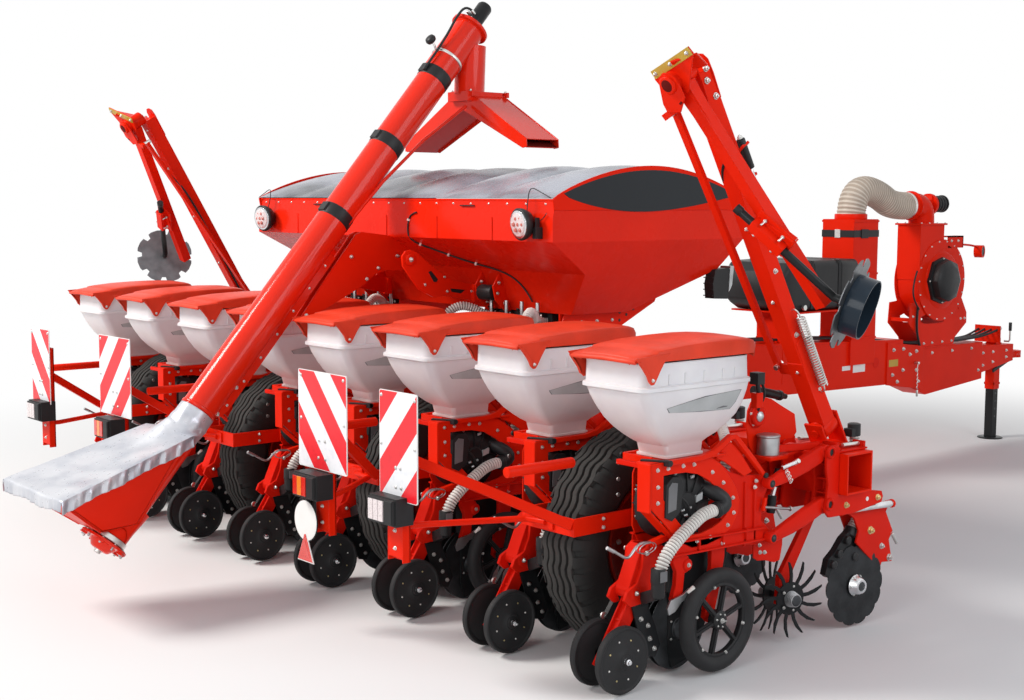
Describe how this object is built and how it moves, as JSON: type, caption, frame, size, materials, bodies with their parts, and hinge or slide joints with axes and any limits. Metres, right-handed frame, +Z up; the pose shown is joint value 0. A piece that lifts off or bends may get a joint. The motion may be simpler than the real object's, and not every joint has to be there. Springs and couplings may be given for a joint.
{
  "type": "precision planter",
  "caption": "Trailed row-crop precision planter with a toolbar on wheels, seed hoppers, a covered fertiliser hopper with filling auger, folded markers, fan and drawbar.",
  "frame": {"origin": "on the ground, below the middle of the whole machine's length and width", "axes": "+Y is the way the planter travels, towards the tractor; +X is the machine's right-hand side; +Z is up"},
  "size_m": [6.6788, 9.314, 3.3661],
  "materials": {
    "red_paint": "gloss",
    "tyre": "matt",
    "wheel_paint": "gloss",
    "seed_plastic": "satin",
    "lid_plastic": "gloss",
    "black_plastic": "matt",
    "black_paint": "satin",
    "wheel_rubber": "matt",
    "disc_steel": "brushed",
    "tarp_fabric": "satin",
    "cover_fabric": "satin",
    "clear_hose": "gloss",
    "board_paint": "gloss"
  },
  "bodies": {
    "frame": {"toolbar": "red_paint", "wheel_arms": "red_paint", "row_frames": "red_paint", "fertiliser_hopper": "red_paint", "hopper_stand": "red_paint", "drawbar": "red_paint", "hitch": "red_paint", "fan_housing": "red_paint", "seed_hoppers": "seed_plastic", "seed_meters": "black_plastic", "fertiliser_meters": "black_plastic", "water_tank": "black_plastic", "seed_openers": "black_paint", "ground_discs": "disc_steel", "hopper_tarp": "tarp_fabric", "fan_hose": "clear_hose", "clear_hoses": "clear_hose", "warning_boards": "board_paint"},
    "transport_wheel_1": {"tyre_1": "tyre", "wheel_rim_1": "wheel_paint"},
    "transport_wheel_2": {"tyre_2": "tyre", "wheel_rim_2": "wheel_paint"},
    "transport_wheel_3": {"tyre_3": "tyre", "wheel_rim_3": "wheel_paint"},
    "transport_wheel_4": {"tyre_4": "tyre", "wheel_rim_4": "wheel_paint"},
    "gauge_pair_1": {"gauge_wheels_1": "wheel_rubber"},
    "gauge_pair_2": {"gauge_wheels_2": "wheel_rubber"},
    "gauge_pair_3": {"gauge_wheels_3": "wheel_rubber"},
    "gauge_pair_4": {"gauge_wheels_4": "wheel_rubber"},
    "gauge_pair_5": {"gauge_wheels_5": "wheel_rubber"},
    "gauge_pair_6": {"gauge_wheels_6": "wheel_rubber"},
    "gauge_pair_7": {"gauge_wheels_7": "wheel_rubber"},
    "gauge_pair_8": {"gauge_wheels_8": "wheel_rubber"},
    "press_pair_1": {"press_wheels_1": "wheel_rubber"},
    "press_pair_2": {"press_wheels_2": "wheel_rubber"},
    "press_pair_3": {"press_wheels_3": "wheel_rubber"},
    "press_pair_4": {"press_wheels_4": "wheel_rubber"},
    "press_pair_5": {"press_wheels_5": "wheel_rubber"},
    "press_pair_6": {"press_wheels_6": "wheel_rubber"},
    "press_pair_7": {"press_wheels_7": "wheel_rubber"},
    "press_pair_8": {"press_wheels_8": "wheel_rubber"},
    "lid_1": {"seed_lid_1": "lid_plastic"},
    "lid_2": {"seed_lid_2": "lid_plastic"},
    "lid_3": {"seed_lid_3": "lid_plastic"},
    "lid_4": {"seed_lid_4": "lid_plastic"},
    "lid_5": {"seed_lid_5": "lid_plastic"},
    "lid_6": {"seed_lid_6": "lid_plastic"},
    "lid_7": {"seed_lid_7": "lid_plastic"},
    "lid_8": {"seed_lid_8": "lid_plastic"},
    "jack": {"jack_leg": "black_paint"},
    "auger": {"auger_tube": "red_paint", "auger_trough": "red_paint", "trough_cover": "cover_fabric"},
    "right_marker_lower_body": {"right_marker_lower": "red_paint"},
    "right_marker_upper_body": {"right_marker_upper": "red_paint"},
    "right_marker_disc_body": {"right_marker_disc": "red_paint"},
    "left_marker_lower_body": {"left_marker_lower": "red_paint"},
    "left_marker_upper_body": {"left_marker_upper": "red_paint"},
    "left_marker_disc_body": {"left_marker_disc": "red_paint"}
  },
  "joints": [
    {"name": "transport_wheel_1_turn", "type": "hinge", "parent": "frame", "child": "transport_wheel_1", "pos_m": [-2.25, -2.585, 0.535], "axis": [1, 0, 0], "continuous": true},
    {"name": "transport_wheel_2_turn", "type": "hinge", "parent": "frame", "child": "transport_wheel_2", "pos_m": [-0.75, -2.585, 0.535], "axis": [1, 0, 0], "continuous": true},
    {"name": "transport_wheel_3_turn", "type": "hinge", "parent": "frame", "child": "transport_wheel_3", "pos_m": [0.75, -2.585, 0.535], "axis": [1, 0, 0], "continuous": true},
    {"name": "transport_wheel_4_turn", "type": "hinge", "parent": "frame", "child": "transport_wheel_4", "pos_m": [2.25, -2.585, 0.535], "axis": [1, 0, 0], "continuous": true},
    {"name": "gauge_wheels_1_turn", "type": "hinge", "parent": "frame", "child": "gauge_pair_1", "pos_m": [-2.625, -2.606, 0.25], "axis": [1, 0, 0], "continuous": true},
    {"name": "gauge_wheels_2_turn", "type": "hinge", "parent": "frame", "child": "gauge_pair_2", "pos_m": [-1.875, -2.606, 0.25], "axis": [1, 0, 0], "continuous": true},
    {"name": "gauge_wheels_3_turn", "type": "hinge", "parent": "frame", "child": "gauge_pair_3", "pos_m": [-1.125, -2.606, 0.25], "axis": [1, 0, 0], "continuous": true},
    {"name": "gauge_wheels_4_turn", "type": "hinge", "parent": "frame", "child": "gauge_pair_4", "pos_m": [-0.375, -2.606, 0.25], "axis": [1, 0, 0], "continuous": true},
    {"name": "gauge_wheels_5_turn", "type": "hinge", "parent": "frame", "child": "gauge_pair_5", "pos_m": [0.375, -2.606, 0.25], "axis": [1, 0, 0], "continuous": true},
    {"name": "gauge_wheels_6_turn", "type": "hinge", "parent": "frame", "child": "gauge_pair_6", "pos_m": [1.125, -2.606, 0.25], "axis": [1, 0, 0], "continuous": true},
    {"name": "gauge_wheels_7_turn", "type": "hinge", "parent": "frame", "child": "gauge_pair_7", "pos_m": [1.875, -2.606, 0.25], "axis": [1, 0, 0], "continuous": true},
    {"name": "gauge_wheels_8_turn", "type": "hinge", "parent": "frame", "child": "gauge_pair_8", "pos_m": [2.625, -2.606, 0.25], "axis": [1, 0, 0], "continuous": true},
    {"name": "press_wheels_1_turn", "type": "hinge", "parent": "frame", "child": "press_pair_1", "pos_m": [-2.625, -3.145, 0.156], "axis": [1, 0, 0], "continuous": true},
    {"name": "press_wheels_2_turn", "type": "hinge", "parent": "frame", "child": "press_pair_2", "pos_m": [-1.875, -3.145, 0.156], "axis": [1, 0, 0], "continuous": true},
    {"name": "press_wheels_3_turn", "type": "hinge", "parent": "frame", "child": "press_pair_3", "pos_m": [-1.125, -3.145, 0.156], "axis": [1, 0, 0], "continuous": true},
    {"name": "press_wheels_4_turn", "type": "hinge", "parent": "frame", "child": "press_pair_4", "pos_m": [-0.375, -3.145, 0.156], "axis": [1, 0, 0], "continuous": true},
    {"name": "press_wheels_5_turn", "type": "hinge", "parent": "frame", "child": "press_pair_5", "pos_m": [0.375, -3.145, 0.156], "axis": [1, 0, 0], "continuous": true},
    {"name": "press_wheels_6_turn", "type": "hinge", "parent": "frame", "child": "press_pair_6", "pos_m": [1.125, -3.145, 0.156], "axis": [1, 0, 0], "continuous": true},
    {"name": "press_wheels_7_turn", "type": "hinge", "parent": "frame", "child": "press_pair_7", "pos_m": [1.875, -3.145, 0.156], "axis": [1, 0, 0], "continuous": true},
    {"name": "press_wheels_8_turn", "type": "hinge", "parent": "frame", "child": "press_pair_8", "pos_m": [2.625, -3.145, 0.156], "axis": [1, 0, 0], "continuous": true},
    {"name": "lid_1_hinge", "type": "hinge", "parent": "frame", "child": "lid_1", "pos_m": [-2.625, -3.112, 1.384], "axis": [1, 0, 0], "range_deg": [0, 100]},
    {"name": "lid_2_hinge", "type": "hinge", "parent": "frame", "child": "lid_2", "pos_m": [-1.875, -3.112, 1.384], "axis": [1, 0, 0], "range_deg": [0, 100]},
    {"name": "lid_3_hinge", "type": "hinge", "parent": "frame", "child": "lid_3", "pos_m": [-1.125, -3.112, 1.384], "axis": [1, 0, 0], "range_deg": [0, 100]},
    {"name": "lid_4_hinge", "type": "hinge", "parent": "frame", "child": "lid_4", "pos_m": [-0.375, -3.112, 1.384], "axis": [1, 0, 0], "range_deg": [0, 100]},
    {"name": "lid_5_hinge", "type": "hinge", "parent": "frame", "child": "lid_5", "pos_m": [0.375, -3.112, 1.384], "axis": [1, 0, 0], "range_deg": [0, 100]},
    {"name": "lid_6_hinge", "type": "hinge", "parent": "frame", "child": "lid_6", "pos_m": [1.125, -3.112, 1.384], "axis": [1, 0, 0], "range_deg": [0, 100]},
    {"name": "lid_7_hinge", "type": "hinge", "parent": "frame", "child": "lid_7", "pos_m": [1.875, -3.112, 1.384], "axis": [1, 0, 0], "range_deg": [0, 100]},
    {"name": "lid_8_hinge", "type": "hinge", "parent": "frame", "child": "lid_8", "pos_m": [2.625, -3.112, 1.384], "axis": [1, 0, 0], "range_deg": [0, 100]},
    {"name": "jack_slide", "type": "slide", "parent": "frame", "child": "jack", "axis": [0, 0, 1], "range_m": [0, 0.43]},
    {"name": "auger_lift", "type": "slide", "parent": "frame", "child": "auger", "axis": [0, 0.6547, 0.7559], "range_m": [0, 0.35]},
    {"name": "right_marker_swing", "type": "hinge", "parent": "frame", "child": "right_marker_lower_body", "pos_m": [2.64, -1.695, 1.028], "axis": [0, 0.866, 0.5], "range_deg": [0, 93]},
    {"name": "right_marker_unfold", "type": "hinge", "parent": "right_marker_lower_body", "child": "right_marker_upper_body", "pos_m": [2.64, -2.675, 2.72541], "axis": [0, -0.866, -0.5], "range_deg": [0, 120]},
    {"name": "right_marker_disc_turn", "type": "hinge", "parent": "right_marker_upper_body", "child": "right_marker_disc_body", "pos_m": [3.19607, -2.2699, 1.69265], "axis": [0.88, 0.3597, -0.3101], "continuous": true},
    {"name": "left_marker_swing", "type": "hinge", "parent": "frame", "child": "left_marker_lower_body", "pos_m": [-2.64, -1.695, 1.028], "axis": [0, -0.866, -0.5], "range_deg": [0, 93]},
    {"name": "left_marker_unfold", "type": "hinge", "parent": "left_marker_lower_body", "child": "left_marker_upper_body", "pos_m": [-2.64, -2.675, 2.72541], "axis": [0, 0.866, 0.5], "range_deg": [0, 120]},
    {"name": "left_marker_disc_turn", "type": "hinge", "parent": "left_marker_upper_body", "child": "left_marker_disc_body", "pos_m": [-3.19607, -2.2699, 1.69265], "axis": [-0.88, 0.3597, -0.3101], "continuous": true}
  ],
  "couplings": [
    {"joint": "right_marker_unfold", "follows": "right_marker_swing", "ratio": 1.2903},
    {"joint": "left_marker_unfold", "follows": "left_marker_swing", "ratio": 1.2903}
  ]
}
